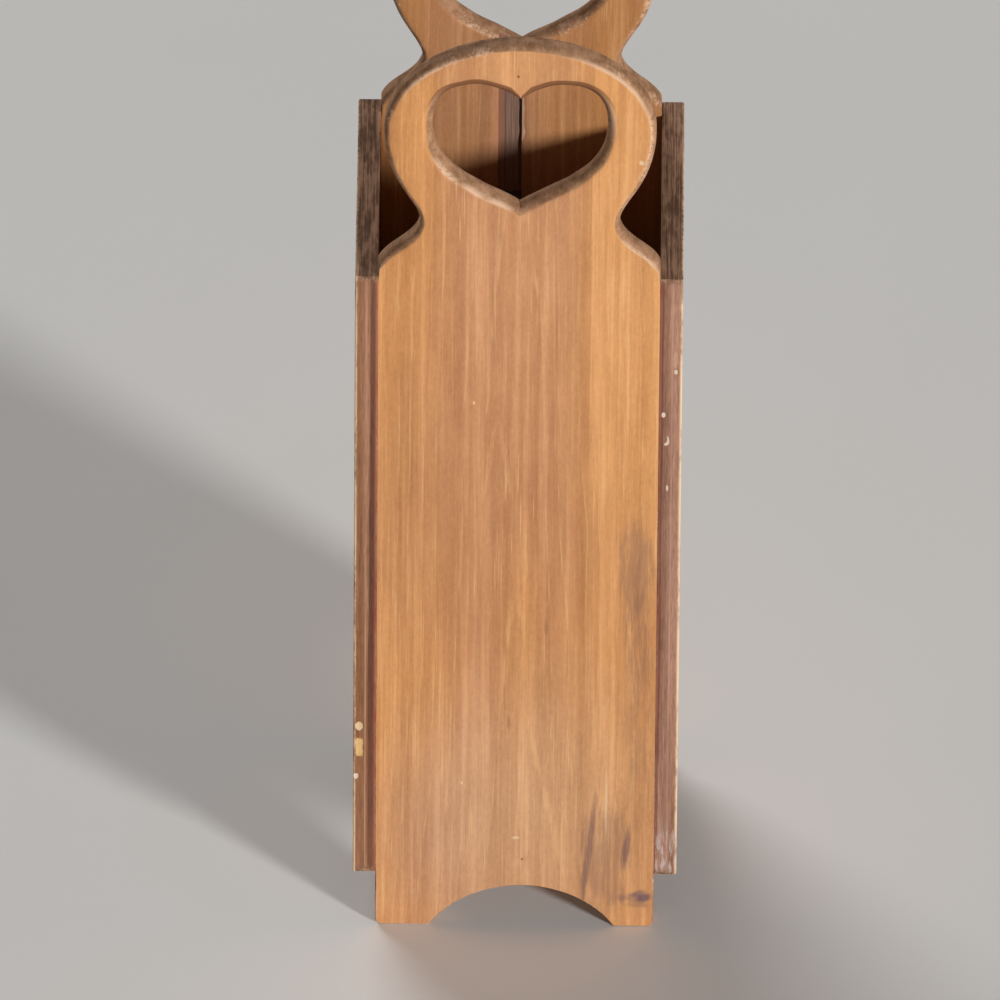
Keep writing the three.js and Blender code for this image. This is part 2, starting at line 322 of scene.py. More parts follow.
def inward_normals(points):
    """The way into the wood at each point, drawn out at corners so that an inset keeps its width."""
    normals = []
    for i, p in enumerate(points):
        before = (p - points[i - 1]).normalized()
        after = (points[(i + 1) % len(points)] - p).normalized()
        n1 = Vector((-before.y, before.x))
        n2 = Vector((-after.y, after.x))
        middle = (n1 + n2).normalized()
        normals.append(middle / max(MITRE_LIMIT, middle.dot(n1)))
    return normals


def arris_share(share):
    """How much a ring at this share of a rounding is rubbed as an arris."""
    return math.sin(math.pi * lerp(0.2, 0.9, share))


def rim_share(share):
    """How much a ring at this share of a rounding lies where the rounding leaves the face."""
    return smooth(0, 0.16, share) * smooth(0.55, 0.2, share)


def wear_noise(u, v, seed, size):
    return noise.noise(Vector((u / size, v / size, seed)))


class Board:
    """A board drawn in (u, v), with its outside face at w = 0 and its inside face at w = thickness."""

    TAGS = ("arris", "rim", "cut", "end")

    def __init__(self, thickness, place, seed):
        self.mesh = bmesh.new()
        self.layers = {tag: self.mesh.verts.layers.float.new(tag) for tag in self.TAGS}
        self.thickness = thickness
        self.place = place
        self.seed = seed
        self.outside = []  # rings of (u, v) points and vertices that bound the outside face
        self.inside = []

    def vertex(self, u, v, w, **tags):
        vertex = self.mesh.verts.new(self.place(u, v, w) * MM)
        for tag, value in tags.items():
            vertex[self.layers[tag]] = value
        return vertex

    def bridge(self, one, other):
        for i in range(len(one)):
            j = (i + 1) % len(one)
            self.mesh.faces.new((one[i], one[j], other[j], other[i]))

    def rings(self, profile):
        """Bridges a list of rings, each a list of (u, v, w, tags)."""
        made = [[self.vertex(u, v, w, **tags) for u, v, w, tags in ring] for ring in profile]
        for one, other in zip(made, made[1:]):
            self.bridge(one, other)
        return made

    def edge(self, points, outside_round, inside_round, wall_steps, end_grain, dents=lambda u, v, w: 0):
        """The board's edge along a closed outline, rounded over to both faces.

        outside_round and inside_round give the arris radius at (u, v). end_grain gives how much the edge
        there is end grain, and dents how far it is dented in at (u, v, w).
        """
        normals = inward_normals(points)
        t = self.thickness

        def radius(base, p, seed):
            return base(p.x, p.y) * (1 + WEAR_SHARE * wear_noise(p.x, p.y, self.seed + seed, WEAR_LENGTH))

        outer = [radius(outside_round, p, 0.3) for p in points]
        inner = [radius(inside_round, p, 7.7) for p in points]
        profile = []

        def ring(inset_and_depth, arris, cut, rim=0):
            made = []
            for i, (p, n) in enumerate(zip(points, normals)):
                inset, w = inset_and_depth(i)
                q = p + n * (inset + dents(p.x, p.y, w))
                end = cut * end_grain(p.x, p.y)
                made.append((q.x, q.y, w, {"arris": arris, "rim": rim, "cut": cut, "end": end}))
            profile.append(made)

        def rounding(step, radii, face_w, inwards):
            share = step / ROUND_STEPS
            a = share * math.pi / 2
            ring(lambda i: (radii[i] * (1 - math.sin(a)), face_w + inwards * radii[i] * (1 - math.cos(a))),
                 arris_share(share), smooth(0, CUT_FULL, share), rim_share(share))

        ring(lambda i: (outer[i] + min(FACE_MARGIN, outer[i] / 2), 0), 0, 0)
        for step in range(ROUND_STEPS + 1):
            rounding(step, outer, 0, 1)
        for step in range(1, wall_steps):
            ring(lambda i: (0, lerp(outer[i], t - inner[i], step / wall_steps)), 0, 1)
        for step in range(ROUND_STEPS, -1, -1):
            rounding(step, inner, t, -1)
        ring(lambda i: (inner[i] + min(FACE_MARGIN, inner[i] / 2), t), 0, 0)
        made = self.rings(profile)
        self.outside.append(([Vector(p[:2]) for p in profile[0]], made[0]))
        self.inside.append(([Vector(p[:2]) for p in profile[-1]], made[-1]))

    def nail_hole(self, centre):
        """A set nail's hole in the outside face."""
        lip = NAIL_HOLE_LIP
        steps = [(NAIL_HOLE_R + lip, 0, 0), (NAIL_HOLE_R + lip * 0.2, lip * 0.3, 1), (NAIL_HOLE_R, lip, 1),
                 (NAIL_HOLE_R, NAIL_HOLE_DEPTH, 1)]
        profile = []
        for radius, depth, cut in steps:
            profile.append([(p.x, p.y, depth, {"cut": cut}) for p in circle(centre, radius)])
        made = self.rings(profile)
        self.mesh.faces.new(made[-1])
        self.outside.append(([Vector(p[:2]) for p in profile[0]], made[0]))

    def fill(self, loops, w, relief, extra=()):
        """Fills a face between its rings with a grid of points that relief(u, v) sinks into the board."""
        flat = [p for uv, _ in loops for p in uv]
        known = [vertex for _, vertices in loops for vertex in vertices]
        edges = []
        first = 0
        for uv, _ in loops:
            edges += [(first + i, first + (i + 1) % len(uv)) for i in range(len(uv))]
            first += len(uv)
        rim = np.array([p[:] for p in flat])
        low, high = rim.min(0), rim.max(0)
        columns = np.arange(low[0] + FACE_STEP / 2, high[0], FACE_STEP)
        rows = np.arange(low[1] + FACE_STEP / 2, high[1], FACE_STEP)
        grid = np.stack(np.meshgrid(columns, rows), -1).reshape(-1, 2)
        for points, room in ((grid, FACE_ROOM), (np.array(extra).reshape(-1, 2), DING_ROOM)):
            offsets = points[:, None] - rim[None]
            clear = (np.hypot(offsets[..., 0], offsets[..., 1]).min(1) > room) & within(points, loops)
            flat += [Vector(p) for p in points[clear]]
            known += [None] * int(clear.sum())
        uv, _, triangles, origins, _, _ = delaunay_2d_cdt(flat, edges, [], INSIDE_WITH_HOLES, MERGE_DISTANCE)
        vertices = []
        outside_face = w == 0
        for p, origin in zip(uv, origins):
            vertex = known[origin[0]] if origin else None
            if vertex is None:
                depth = relief(p.x, p.y)
                vertex = self.vertex(p.x, p.y, w + (depth if outside_face else -depth))
            vertices.append(vertex)
        centres = np.array([sum((uv[i] for i in corners), Vector((0, 0))) / 3 for corners in triangles])
        for corners, kept in zip(triangles, within(centres, loops)):
            if kept:
                self.mesh.faces.new([vertices[i] for i in corners])

    def finish(self, name, node, material):
        bmesh.ops.recalc_face_normals(self.mesh, faces=self.mesh.faces)
        data = bpy.data.meshes.new(name)
        self.mesh.to_mesh(data)
        self.mesh.free()
        soften(data)
        data.materials.append(material.material)
        piece = add_object(name, data)
        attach(piece, "root")
        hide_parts(node)
        return piece


def soften(data):
    data.shade_smooth()
    data.set_sharp_from_angle(angle=SHARP_ANGLE)


def within(points, loops):
    """For each point, true if it is within the outer ring and in none of the holes."""
    u, v = points[:, 0:1], points[:, 1:2]
    crossings = np.zeros(len(points), int)
    for uv, _ in loops:
        start = np.array([p[:] for p in uv])
        end = np.roll(start, -1, 0)
        spans = (start[:, 1] > v) != (end[:, 1] > v)
        rise = np.where(end[:, 1] == start[:, 1], 1, end[:, 1] - start[:, 1])
        meets = start[:, 0] + (v - start[:, 1]) / rise * (end[:, 0] - start[:, 0])
        crossings += (spans & (u < meets)).sum(1)
    return crossings % 2 == 1


# Materials

def srgb(red, green, blue):
    """A colour given as it looks on a screen, 0 to 255, as Blender's linear colour."""
    def linear(c):
        c /= 255
        return c / 12.92 if c <= 0.04045 else ((c + 0.055) / 1.055) ** 2.4
    return (linear(red), linear(green), linear(blue), 1)


# Colours of the woods, their finish and their wear
GOLD = srgb(215, 151, 93)
BRIGHT_GOLD = srgb(232, 168, 106)
PINK_TAN = srgb(208, 149, 105)
MID_BROWN = srgb(192, 134, 90)
PINK_GREY = srgb(200, 152, 118)
PALE_TAN = srgb(214, 165, 122)
PALE_GRAIN = srgb(238, 188, 132)
# Grey that darkens the panels' inside faces: painted shade inside the box
INSIDE_SHADE_TINT = srgb(220, 220, 220)
GROOVE_DARK = srgb(118, 90, 76)
GROOVE_LIGHT = srgb(146, 116, 98)
# Lighter reddish band on the groove's left side: painted light on its lit wall
GROOVE_LIT_RED = srgb(152, 102, 78)
# Dark lines in the groove's bottom: painted shadow
GROOVE_SHADOW_LINE = srgb(86, 62, 54)
CUT_DARK = srgb(126, 90, 62)
CUT_LIGHT = srgb(176, 134, 102)
# Pale of rubbed arrises, also used for painted highlights on the right shoulders
RUBBED_AND_HIGHLIGHT = srgb(232, 194, 162)
# Brown for the painted shade under the heart's lobes
LOBE_SHADE_BROWN = srgb(116, 71, 42)
TORN = srgb(234, 198, 170)
BARE = srgb(240, 208, 166)
PIN_HOLE = srgb(96, 54, 30)
FLECK = srgb(152, 102, 68)
STAIN_GREY = srgb(136, 102, 86)
STAIN_PURPLE = srgb(122, 90, 84)
STAIN_BLUE = srgb(88, 74, 92)
LEFT_BROWN = srgb(136, 91, 60)
LEFT_MAUVE = srgb(160, 114, 86)
RIGHT_BROWN = srgb(142, 100, 78)
RIGHT_MAUVE = srgb(172, 128, 106)
SIDE_DARK = srgb(94, 54, 40)
SIDE_PALE = srgb(196, 152, 126)
SIDE_BARE = srgb(232, 196, 158)
JOINT_RED = srgb(150, 78, 60)
SCUFF = srgb(212, 196, 190)
CHIP_YELLOW = srgb(228, 186, 124)
CHIP_PALE = srgb(232, 200, 158)
CHIP_WHITE = srgb(234, 210, 190)
END_DARK = srgb(104, 74, 54)
END_LIGHT = srgb(178, 138, 110)
DIVIDER_DARK = srgb(88, 60, 50)
DIVIDER_BROWN = srgb(118, 84, 72)
DIVIDER_FIBRE = srgb(70, 46, 38)
DIVIDER_END = srgb(92, 76, 70)
DIVIDER_WORN = srgb(198, 150, 118)
FLOOR_BROWN = srgb(186, 138, 94)
FLOOR_TAN = srgb(208, 162, 114)
FLOOR_FIBRE = srgb(150, 104, 66)
FLOOR_DUST = srgb(150, 136, 120)
FLOOR_CUT = srgb(140, 100, 70)
STEEL_GREY = srgb(150, 146, 140)
RUST = srgb(96, 62, 40)
STUDIO_DULL = srgb(236, 234, 230)
STUDIO_PALE = srgb(242, 240, 237)
SKY = srgb(238, 239, 242)
SHEEN = 0.25  # how strongly the woods and the steel reflect

# Sockets of Blender's mix node that hold colours
MIX_A = 6
MIX_B = 7
MIX_RESULT = 2


class Shader:
    """A material and short names for making its nodes. Places are in millimetres of the frame."""

    def __init__(self, name, slot):
        self.material = bpy.data.materials.new(name)
        self.material.use_nodes = True
        self.slot = slot
        self.tree = self.material.node_tree
        self.tree.nodes.clear()
        self.surface = self.tree.nodes.new("ShaderNodeBsdfPrincipled")
        output = self.tree.nodes.new("ShaderNodeOutputMaterial")
        self.tree.links.new(self.surface.outputs[0], output.inputs["Surface"])
        place = self.tree.nodes.new("ShaderNodeTexCoord").outputs["Object"]
        self.place = self.vector("SCALE", place, scale=1 / MM)
        self.x, self.y, self.z = self.split(self.place)

    def put(self, socket, value):
        if isinstance(value, bpy.types.NodeSocket):
            self.tree.links.new(value, socket)
        elif value is not None:
            socket.default_value = value

    def math(self, operation, a, b=None):
        node = self.tree.nodes.new("ShaderNodeMath")
        node.operation = operation
        for socket, value in zip(node.inputs, (a, b)):
            self.put(socket, value)
        return node.outputs[0]

    def add(self, *values):
        total = values[0]
        for value in values[1:]:
            total = self.math("ADD", total, value)
        return total

    def less(self, a, b):
        return self.math("SUBTRACT", a, b)

    def most(self, a, b):
        return self.math("MAXIMUM", a, b)

    def times(self, *values):
        product = values[0]
        for value in values[1:]:
            product = self.math("MULTIPLY", product, value)
        return product

    def vector(self, operation, a, b=None, scale=None):
        node = self.tree.nodes.new("ShaderNodeVectorMath")
        node.operation = operation
        self.put(node.inputs[0], a)
        if scale is None:
            self.put(node.inputs[1], b)
        else:
            self.put(node.inputs["Scale"], scale)
        return node.outputs[0]

    def split(self, vector):
        node = self.tree.nodes.new("ShaderNodeSeparateXYZ")
        self.put(node.inputs[0], vector)
        return node.outputs

    def join(self, x, y, z):
        node = self.tree.nodes.new("ShaderNodeCombineXYZ")
        for socket, value in zip(node.inputs, (x, y, z)):
            self.put(socket, value)
        return node.outputs[0]

    def noise(self, sizes, detail, rough, shift=0.0, warp=0.0, place=None):
        """Noise whose spots are about sizes = (x, y, z) millimetres, from 0 to 1."""
        node = self.tree.nodes.new("ShaderNodeTexNoise")
        spread = self.vector("DIVIDE", place or self.place, sizes)
        self.put(node.inputs["Vector"], self.vector("ADD", spread, (shift, shift * 0.7, shift * 1.3)))
        node.inputs["Scale"].default_value = 1
        node.inputs["Detail"].default_value = detail
        node.inputs["Roughness"].default_value = rough
        node.inputs["Distortion"].default_value = warp
        return node.outputs[0]

    def step(self, value, low, high, to_low=0.0, to_high=1.0):
        node = self.tree.nodes.new("ShaderNodeMapRange")
        node.interpolation_type = "SMOOTHSTEP"
        for socket, v in zip(node.inputs, (value, low, high, to_low, to_high)):
            self.put(socket, v)
        return node.outputs[0]

    def mix(self, share, a, b, way="MIX"):
        node = self.tree.nodes.new("ShaderNodeMix")
        node.data_type = "RGBA"
        node.blend_type = way
        self.put(node.inputs[0], share)
        self.put(node.inputs[MIX_A], a)
        self.put(node.inputs[MIX_B], b)
        return node.outputs[MIX_RESULT]

    def tag(self, name):
        node = self.tree.nodes.new("ShaderNodeAttribute")
        node.attribute_name = name
        return node.outputs["Fac"]

    def spot(self, centre, size, soft=0.5, tilt=0.0, across=None, ragged=None, square=False):
        """1 in an ellipse round centre = (x, z) that is size = (x, z) across, and 0 outside it.

        tilt leans it to the right upwards. across stands in for x. ragged is noise that roughens its rim.
        A square spot has rounded corners.
        """
        dz = self.less(self.z, centre[1])
        dx = self.less(across or self.x, centre[0])
        if tilt:
            dx = self.less(dx, self.times(dz, tilt))
        dx = self.math("DIVIDE", dx, size[0] / 2)
        dz = self.math("DIVIDE", dz, size[1] / 2)
        power = 6.0 if square else 2.0
        reach = [self.math("POWER", self.math("ABSOLUTE", d), power) for d in (dx, dz)]
        far = self.math("POWER", self.add(*reach), 1 / power)
        if ragged:
            far = self.add(far, ragged)
        return self.step(far, 1 + soft, 1 - soft)

    def finish(self, colour, rough, bump, strength, distance):
        self.put(self.surface.inputs["Base Color"], colour)
        self.put(self.surface.inputs["Roughness"], rough)
        self.surface.inputs["Specular IOR Level"].default_value = SHEEN
        node = self.tree.nodes.new("ShaderNodeBump")
        node.inputs["Strength"].default_value = strength
        node.inputs["Distance"].default_value = distance * MM
        self.put(node.inputs["Height"], bump)
        self.put(self.surface.inputs["Normal"], node.outputs[0])
        return self


def growth_rings(s, depth, shift, pith_x, pith_depth, tilt, spacing):
    """Place in the growth rings, from 0 to 1 in each, so that a flat face shows grain that arches upwards."""
    sway = s.less(s.noise((80, 80, 420), 2, 0.5, shift), 0.5)
    waver = s.less(s.noise((12, 12, 160), 2, 0.5, shift + 3), 0.5)
    across = s.add(s.x, -pith_x, s.times(sway, 40), s.times(waver, 6))
    away = s.less(s.add(pith_depth, s.times(s.z, tilt), s.times(sway, 10)), depth)
    radius = s.math("SQRT", s.add(s.times(across, across), s.times(away, away)))
    uneven = s.noise((1, 1, 1), 2, 0.5, place=s.join(s.math("DIVIDE", radius, 11), shift, 0.0))
    rings = s.math("DIVIDE", s.add(radius, s.times(uneven, 14)), spacing)
    return s.math("FRACT", rings)


def centred(s, value, strength):
    """Noise as a change of tone up and down, for adding to 1."""
    return s.times(s.less(value, 0.5), strength)


GROOVE_SHADOW_LINES = (4.6, 14.6)  # millimetres from the groove's left side to the painted shadow lines in its bottom


def panel_wood(name, facing, shift, patches=(), marks=(), wear_and_highlights=()):
    """Honey-coloured softwood. facing is -1 for the front panel and 1 for the back one.

    patches are broad drifts of colour, marks are stains and dings on the outside face, and
    wear_and_highlights is where the arrises are rubbed most and, at some places, where highlights are painted
    on.
    """
    s = Shader(name, "panel_wood")
    thickness = in_mm("front_panel")[1].y - PANEL_FRONT_Y
    depth = s.less(s.times(s.y, -facing), PANEL_FRONT_Y)
    on_face = s.step(depth, 2.0, 1.0)

    # Broad drifts of colour, pinker in the middle and more golden towards the sides
    cloud = s.noise((42, 42, 330), 2, 0.5, shift)
    off_centre = s.step(s.math("ABSOLUTE", s.add(s.x, 6)), 14, 74)
    golden = s.step(s.add(cloud, s.times(off_centre, 0.4)), 0.5, 0.95)
    colour = s.mix(golden, PINK_TAN, GOLD)
    for patch in patches:
        mask = s.spot(patch.centre, patch.size, 0.9)
        colour = s.mix(s.times(mask, on_face, patch.strength), colour, patch.colour)

    # Grain: wide bands, narrow lines, fibres and short pores, all along the board
    ring = growth_rings(s, depth, shift, pith_x=-4, pith_depth=40, tilt=0.02, spacing=8.5)
    ring_line = s.most(s.step(ring, 0.14, 0.0), s.step(ring, 0.92, 1.0))
    broken = s.step(s.noise((3, 3, 48), 3, 0.6, shift + 4), 0.42, 0.66)
    band = s.noise((11, 11, 520), 2, 0.5, shift + 5)
    streak = s.noise((4, 4, 240), 2, 0.55, shift + 14)
    line = s.noise((1.7, 1.7, 80), 2, 0.6, shift + 6)
    fibre = s.noise((1.2, 1.2, 16), 3, 0.7, shift + 7)
    mottle = s.noise((16, 16, 60), 4, 0.6, shift + 12)
    speck = s.noise((2.0, 2.0, 4.5), 3, 0.7, shift + 15)
    pore = s.step(s.noise((0.9, 0.9, 5.5), 2, 0.55, shift + 9), 0.63, 0.75)
    tone = s.add(0.93, centred(s, band, 0.54), s.step(streak, 0.46, 0.72, 0, 0.2), centred(s, line, 0.16),
                 centred(s, fibre, 0.26), centred(s, mottle, 0.4), centred(s, speck, 0.34),
                 s.times(ring, -0.07), s.times(pore, -0.08))
    warm_tone = s.join(s.math("POWER", tone, 0.8), tone, s.math("POWER", tone, 1.15))
    colour = s.vector("MULTIPLY", colour, warm_tone)
    group = s.step(s.noise((20, 20, 150), 2, 0.5, shift + 16), 0.44, 0.62)
    grouped_line = s.times(s.step(line, 0.58, 0.74), group, 0.6)
    pale_line = s.most(s.times(ring_line, broken, 0.34), grouped_line)
    colour = s.mix(pale_line, colour, PALE_GRAIN)

    for mark in marks:
        ragged = None
        if mark.streaky:
            ragged = centred(s, s.noise((4, 4, 26), 4, 0.65, mark.centre[0]), 2.2)
        mask = s.spot(mark.centre, mark.size, mark.soft, mark.tilt, ragged=ragged)
        if mark.streaky:
            low, high = mark.streaky
            mask = s.times(mask, s.step(s.noise((1.7, 1.7, 30), 4, 0.7, mark.centre[1]), low, high))
        colour = s.mix(s.times(mask, on_face, mark.strength), colour, mark.colour)

    # Inside face, darkened a little by a grey tint as painted shade inside the box, and the divider's groove
    # in it
    inner = s.step(depth, thickness / 2, thickness - 4)
    colour = s.mix(s.times(inner, 0.85), colour, INSIDE_SHADE_TINT, "MULTIPLY")
    groove_low, groove_high = [corner.x for corner in in_mm("divider")]
    groove_width = groove_high - groove_low
    from_left = s.less(s.x, groove_low)
    groove_bottom = thickness - GROOVE_DEPTH
    in_groove = s.times(s.step(from_left, -0.6, -0.3),
                        s.step(from_left, groove_width + 0.6, groove_width + 0.3),
                        s.step(depth, groove_bottom - 1, groove_bottom - 0.5),
                        s.step(depth, thickness - 0.7, thickness - 1.0))
    saw_mark = s.noise((1.0, 1.0, 50), 3, 0.6, shift + 13)
    groove_colour = s.mix(s.step(saw_mark, 0.3, 0.7), GROOVE_DARK, GROOVE_LIGHT)
    # Lighter reddish band along the groove's left side: painted light
    groove_colour = s.mix(s.step(s.add(from_left, centred(s, saw_mark, 2)), 4.4, 2.6, 0, 0.75), groove_colour,
                          GROOVE_LIT_RED)
    # Dark lines in the groove's bottom: painted shadow along it
    for edge in GROOVE_SHADOW_LINES:
        near = s.step(s.math("ABSOLUTE", s.less(from_left, edge)), 0.8, 0.2, 0, 0.55)
        groove_colour = s.mix(near, groove_colour, GROOVE_SHADOW_LINE)
    plain = s.less(1.0, in_groove)

    # Cut and rounded edges: dull end grain, rubbed pale along the arrises, with painted highlights at some of
    # the wear places
    cut = s.times(s.tag("cut"), plain)
    arris = s.times(s.tag("arris"), plain)
    rim = s.times(s.tag("rim"), plain)
    grime = s.noise((10, 10, 10), 4, 0.6, shift + 1)
    hatch = s.noise((1.3, 14, 1.3), 3, 0.65, shift + 2)
    cut_share = s.step(s.add(cut, centred(s, grime, 0.5)), 0.2, 0.85)
    cut_colour = s.mix(s.step(s.add(grime, centred(s, hatch, 0.4)), 0.3, 0.72), CUT_DARK, CUT_LIGHT)
    colour = s.mix(s.times(cut_share, 0.92), colour, cut_colour)
    stretch = s.noise((38, 38, 38), 2, 0.5, shift + 8)
    scuff = s.noise((2.6, 2.6, 2.6), 4, 0.75, shift + 10)
    rubbed_and_highlit = s.times(s.most(rim, s.times(arris, 0.6)),
                     s.step(s.add(scuff, centred(s, stretch, 0.9)), 0.57, 0.8))
    # Wear places, some of them painted highlights
    for place in wear_and_highlights:
        spot = s.spot(place.centre, place.size, 0.7)
        patchy = s.step(s.add(scuff, place.strength), 0.6, 0.82)
        rubbed_and_highlit = s.most(rubbed_and_highlit, s.times(rim, spot, patchy))
    lobes = s.spot((0, HEART_LOBE_Z - 8), (HEART_HALF * 2.1, 60), 0.2)
    # Brown on the rounding under the heart's lobes: painted shade where the rounding faces down
    lobe_shade = s.times(lobes, s.step(s.most(arris, cut), 0.1, 0.6),
                        s.step(depth, thickness / 2, thickness / 3))
    colour = s.mix(s.times(lobe_shade, 0.85), colour, LOBE_SHADE_BROWN)
    colour = s.mix(s.times(rubbed_and_highlit, s.less(0.8, s.times(lobes, 0.8))), colour, RUBBED_AND_HIGHLIGHT)
    torn = s.times(s.step(from_left, groove_width + 0.3, groove_width + 0.6),
                   s.step(from_left, groove_width + 5, groove_width + 4),
                   s.step(depth, thickness - 2.5, thickness - 1.5),
                   s.step(depth, thickness - 0.06, thickness - 0.7),
                   s.step(s.z, TEAR_LOW_Z, TEAR_LOW_Z + 10), s.step(fibre, 0.3, 0.6, 0.5, 0.9))
    colour = s.mix(torn, colour, TORN)
    colour = s.mix(in_groove, colour, groove_colour)

    rough = s.step(s.add(s.times(fibre, 0.5), s.times(cut, 0.7), s.times(cloud, 0.2)), 0.0, 1.0, 0.42, 0.9)
    height = s.add(s.times(fibre, 0.7), s.times(line, 0.5), s.times(pore, -0.5), s.times(hatch, cut, 0.8),
                   s.times(grime, cut, 0.9))
    return s.finish(colour, rough, height, strength=0.3, distance=0.35)


# Chips in the front edges of the side boards, in millimetres from the panel and up from the ground
Chip = namedtuple("Chip", "across z wide long deep colour square hook", defaults=(False, 0))
LEFT_CHIPS = [
    Chip(11.9, 179, 5.4, 8, 0.5, CHIP_PALE),
    Chip(11.7, 160, 5.2, 16, 0.6, CHIP_YELLOW, square=True),
    Chip(13.8, 134, 3.4, 5, 0.7, CHIP_WHITE),
]
RIGHT_CHIPS = [
    Chip(11.2, 509, 3.4, 15, 0.1, SIDE_PALE),
    Chip(11.6, 498, 2.4, 4, 0.4, CHIP_WHITE),
    Chip(3.2, 460, 2.8, 4.4, 0.4, CHIP_WHITE),
    Chip(5.3, 437, 4.2, 8.5, 0.5, CHIP_WHITE, hook=1.5),
    Chip(6.3, 395, 1.5, 5, 0.3, CHIP_WHITE),
]
SCUFF_TOP_Z = 104  # the right board's front edge is scuffed below this height
SCUFF_FULL_Z = 66
ANY_WIDTH = 10000  # so wide that the place across makes no difference


def side_wood(name, facing, shift, dark_zone, light_line, chips):
    """Reddish-brown stained boards. facing is -1 for the left board and 1 for the right one.

    On the front edge a darker zone lies next to the panel, dark_zone millimetres wide, and a thin light
    line light_line millimetres from the panel.
    """
    s = Shader(name, "side_wood")
    low, high = in_mm("left_side")
    thickness = high.x - low.x
    joint = s.less(s.times(s.x, facing), -high.x)
    front = s.step(s.y, low.y + 2, low.y + 1)

    fibre = s.noise((1.4, 2.4, 9), 3, 0.7, shift)
    hair = s.noise((1.3, 2.6, 26), 4, 0.7, shift + 14, warp=0.6)
    line = s.noise((1.5, 5, 420), 3, 0.6, shift + 4)
    band = s.noise((7, 22, 300), 2, 0.5, shift + 2)
    drift = s.noise((30, 30, 160), 2, 0.5, shift + 3)
    brown, mauve = (LEFT_BROWN, LEFT_MAUVE) if facing < 0 else (RIGHT_BROWN, RIGHT_MAUVE)
    colour = s.mix(s.step(band, 0.32, 0.68), brown, mauve)
    middle_height = s.spot((0, (low.z + high.z) / 2 + 20), (ANY_WIDTH, 560), 0.9)
    dark = s.times(front, s.step(s.add(joint, centred(s, band, 3)), dark_zone + 0.8, dark_zone - 0.8),
                   s.step(middle_height, 0, 1, 0.35, 0.85))
    colour = s.mix(dark, colour, SIDE_DARK)
    tone = s.add(1.0, centred(s, line, 0.3), centred(s, hair, 1.3), centred(s, fibre, 0.8),
                 centred(s, drift, 0.4))
    colour = s.vector("SCALE", colour, scale=tone)
    pale = s.times(front, s.step(s.math("ABSOLUTE", s.less(joint, light_line)), 0.9, 0.2),
                   s.step(s.noise((3, 3, 90), 2, 0.5, shift + 5), 0.3, 0.6, 0.15, 0.6))
    colour = s.mix(pale, colour, SIDE_PALE)
    colour = s.mix(s.step(line, 0.62, 0.8, 0, 0.5), colour, SIDE_PALE)
    red = s.times(front, s.step(joint, 2.2, 1.0), s.step(drift, 0.2, 0.7, 0.5, 0.9))
    colour = s.mix(red, colour, JOINT_RED)
    if facing > 0:
        scrape = s.noise((2, 3, 13), 4, 0.7, shift + 12)
        scuffed = s.times(front, s.step(s.z, SCUFF_TOP_Z, SCUFF_FULL_Z), s.step(scrape, 0.44, 0.62))
        colour = s.mix(s.times(scuffed, 0.72), colour, SCUFF)

    end = s.tag("end")
    streak = s.noise((1.1, 60, 2), 3, 0.65, shift + 6)
    patch = s.noise((5, 18, 5), 3, 0.6, shift + 7)
    end_colour = s.mix(s.step(s.add(streak, centred(s, patch, 0.7)), 0.35, 0.7), END_DARK, END_LIGHT)
    colour = s.mix(end, colour, end_colour)

    arris = s.tag("arris")
    outer = s.step(joint, thickness - 3, thickness - 1.5)
    chafe = s.add(s.noise((3, 3, 14), 4, 0.75, shift + 8),
                  centred(s, s.noise((40, 40, 60), 2, 0.5, shift + 9), 0.8))
    worn = s.times(arris, s.step(chafe, 0.34, 0.62), s.step(outer, 0, 1, 0.35, 0.9))
    colour = s.mix(worn, colour, SIDE_BARE)
    outer_line = s.times(front, s.step(joint, thickness - 1.9, thickness - 1.2),
                         s.step(chafe, 0.36, 0.6, 0.15, 0.8))
    colour = s.mix(outer_line, colour, SIDE_BARE)
    ragged = centred(s, s.noise((1.6, 1.6, 1.6), 2, 0.6, shift + 15), 0.7)
    for chip in chips:
        size = (chip.wide, chip.long)
        mask = s.spot((chip.across, chip.z), size, 0.1, across=joint, ragged=ragged,
                      square=chip.square)
        if chip.hook:
            beside = (chip.across - chip.hook, chip.z + chip.hook)
            hollow = s.spot(beside, size, 0.12, across=joint)
            mask = s.times(mask, s.less(1.0, hollow))
        grain = s.step(fibre, 0.3, 0.7, 0.75, 1.0)
        colour = s.mix(s.times(mask, front, grain), colour, chip.colour)
    rough = s.step(s.add(fibre, s.times(band, 0.3), s.times(end, 0.7)), 0.2, 1.0, 0.45, 0.9)
    height = s.add(s.times(fibre, 0.7), s.times(line, 0.9), s.times(streak, end, 1.2))
    return s.finish(colour, rough, height, strength=0.4, distance=0.35)


def divider_wood():
    s = Shader("divider_wood", "divider_wood")
    fibre = s.noise((1.2, 1.2, 110), 3, 0.6, 31)
    band = s.noise((10, 24, 240), 2, 0.5, 33)
    colour = s.mix(s.step(band, 0.3, 0.7), DIVIDER_DARK, DIVIDER_BROWN)
    colour = s.mix(s.step(fibre, 0.4, 0.8, 0, 0.5), colour, DIVIDER_FIBRE)
    grime = s.noise((4, 4, 4), 3, 0.6, 36)
    colour = s.mix(s.times(s.tag("end"), s.step(grime, 0.2, 0.7, 0.5, 0.9)), colour, DIVIDER_END)
    worn = s.times(s.tag("arris"), s.step(s.noise((8, 8, 8), 4, 0.7, 38), 0.5, 0.62))
    colour = s.mix(s.times(worn, 0.7), colour, DIVIDER_WORN)
    rough = s.step(fibre, 0.2, 0.9, 0.5, 0.75)
    return s.finish(colour, rough, s.add(fibre, s.times(grime, 0.3)), strength=0.35, distance=0.3)


